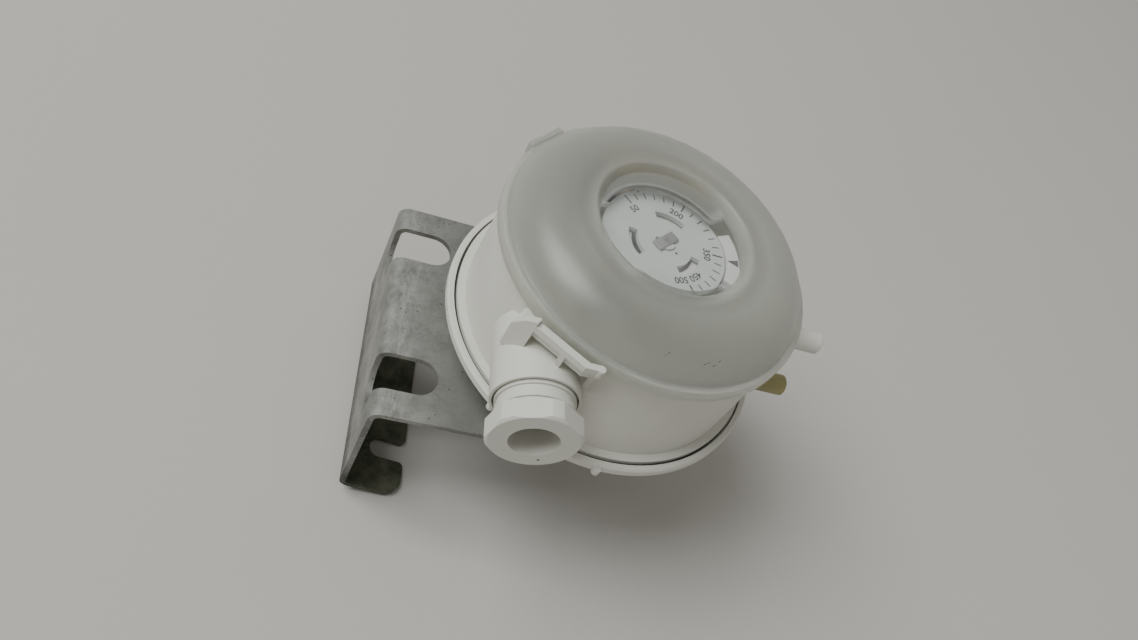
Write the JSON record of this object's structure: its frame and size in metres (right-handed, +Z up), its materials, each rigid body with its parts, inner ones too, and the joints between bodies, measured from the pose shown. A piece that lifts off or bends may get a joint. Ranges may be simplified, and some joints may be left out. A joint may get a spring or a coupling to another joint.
{
  "type": "differential pressure switch",
  "caption": "Round air differential pressure switch with domed clear cover, adjusting dial, cable gland and hose spigots on a folded steel bracket.",
  "frame": {"origin": "middle of the bracket foot's underside, the face that is fixed down", "axes": "+Z up along the dial axis, away from the foot; +X from the web towards the switch, the way the hose spigots point; +Y along the folds, away from the cable gland"},
  "size_m": [0.1136, 0.0907, 0.0934],
  "materials": {
    "bracket": "galvanised sheet, mottled",
    "screw_steel": "zinc-plated",
    "housing_white": "white-grey moulding, satin",
    "amber_plastic": "olive-amber, slightly clear",
    "black_rubber": "matt",
    "plated_metal": "bright",
    "brass": "bright",
    "natural_plastic": "satin",
    "spring_steel": "bright",
    "dial_print": "printed, satin",
    "switch_black": "satin",
    "button_red": "satin",
    "grey_seal": "matt",
    "cover_clear": "frosted dome with a clear window"
  },
  "bodies": {
    "switch_body": {"bracket": "bracket", "bracket_screws": "screw_steel", "lower_housing": "housing_white", "lower_spigot": "amber_plastic", "membrane": "black_rubber", "upper_housing": "housing_white", "range_spring": "spring_steel", "bridge": "natural_plastic", "bridge_screws": "screw_steel", "switch_case": "switch_black", "switch_screws": "screw_steel", "blades": "brass", "wire_clamps": "brass", "clamp_screws": "screw_steel", "gland_seal": "black_rubber", "gland_washer": "plated_metal", "cover_seal": "grey_seal"},
    "cover_body": {"cover": "cover_clear"},
    "dial_body": {"dial": "dial_print", "spindle": "plated_metal"},
    "seat_body": {"spring_seat": "brass"},
    "plunger_body": {"plunger": "natural_plastic", "membrane_disc": "plated_metal"},
    "button_body": {"switch_button": "button_red"},
    "gland_body": {"gland_screw": "housing_white"}
  },
  "joints": [
    {"name": "cover_lift", "type": "slide", "parent": "switch_body", "child": "cover_body", "axis": [0, 0, 1], "range_m": [0, 0.03]},
    {"name": "dial_turn", "type": "hinge", "parent": "switch_body", "child": "dial_body", "pos_m": [0.04681, 0, 0.08553], "axis": [0, 0, 1], "range_deg": [-131, 64]},
    {"name": "seat_slide", "type": "slide", "parent": "switch_body", "child": "seat_body", "axis": [0, 0, 1], "range_m": [-0.0011, 0.0022], "deforming": ["range_spring"]},
    {"name": "plunger_travel", "type": "slide", "parent": "switch_body", "child": "plunger_body", "axis": [0, 0, 1], "range_m": [0, 0.0008], "stiffness_N_per_m": 400, "springref_m": -0.001, "deforming": ["membrane"]},
    {"name": "button_travel", "type": "slide", "parent": "switch_body", "child": "button_body", "axis": [0, 0, 1], "range_m": [0, 0.0008]},
    {"name": "gland_turn", "type": "hinge", "parent": "switch_body", "child": "gland_body", "pos_m": [0.02271, -0.045, 0.06653], "axis": [0, -1, 0], "range_deg": [0, 720]}
  ],
  "couplings": [
    {"joint": "seat_slide", "follows": "dial_turn", "m_per_rad": -0.00095493},
    {"joint": "button_travel", "follows": "plunger_travel", "ratio": 1}
  ]
}
